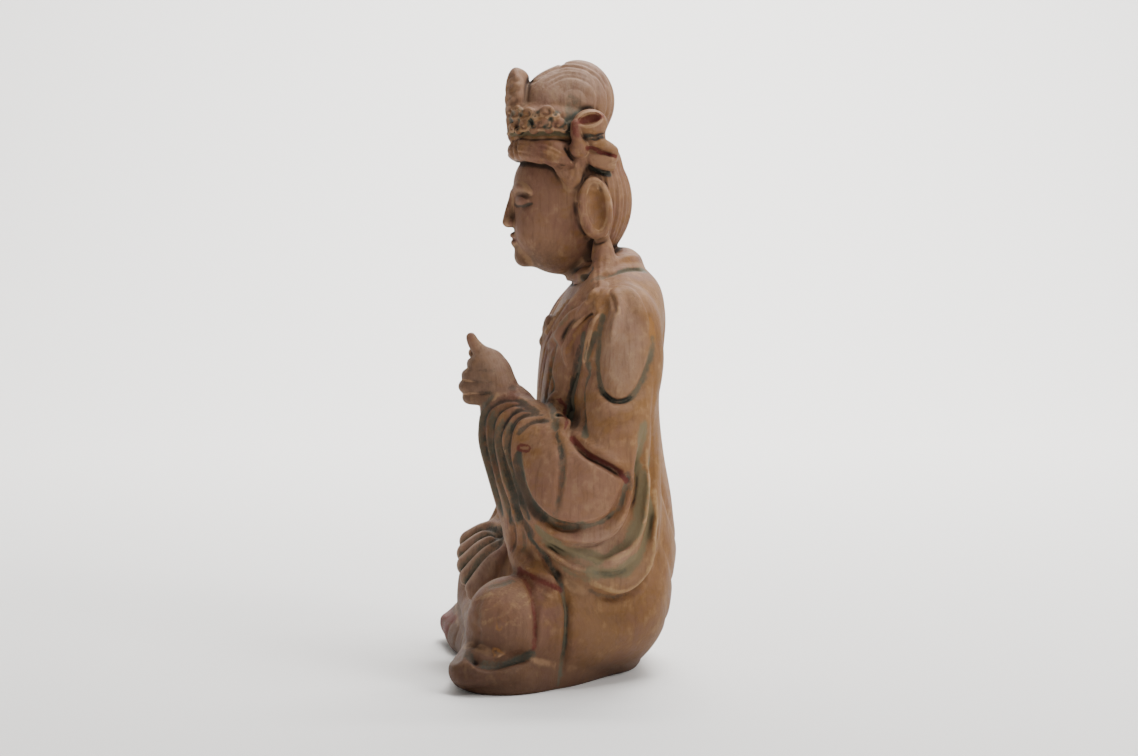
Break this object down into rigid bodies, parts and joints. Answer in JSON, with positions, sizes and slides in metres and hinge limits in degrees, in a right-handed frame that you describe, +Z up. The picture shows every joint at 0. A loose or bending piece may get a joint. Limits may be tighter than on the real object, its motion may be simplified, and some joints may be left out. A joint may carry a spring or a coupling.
{
  "type": "guanyin statue",
  "caption": "Seated Guanyin carved from one block of wood, with leaf crown, ribbon bows, long ears, raised forefinger and robe folds, aged paint, flat underside",
  "frame": {"origin": "middle of the bounding box on the flat underside, at table level", "axes": "+Z up the figure, -Y the way the figure faces, +X to the figure's left hand side"},
  "size_m": [0.2274, 0.1612, 0.4205],
  "materials": {
    "painted_wood": "aged paint rubbed back to the wood, satin"
  },
  "bodies": {
    "root": {"guanyin_statue": "painted_wood"}
  },
  "joints": []
}
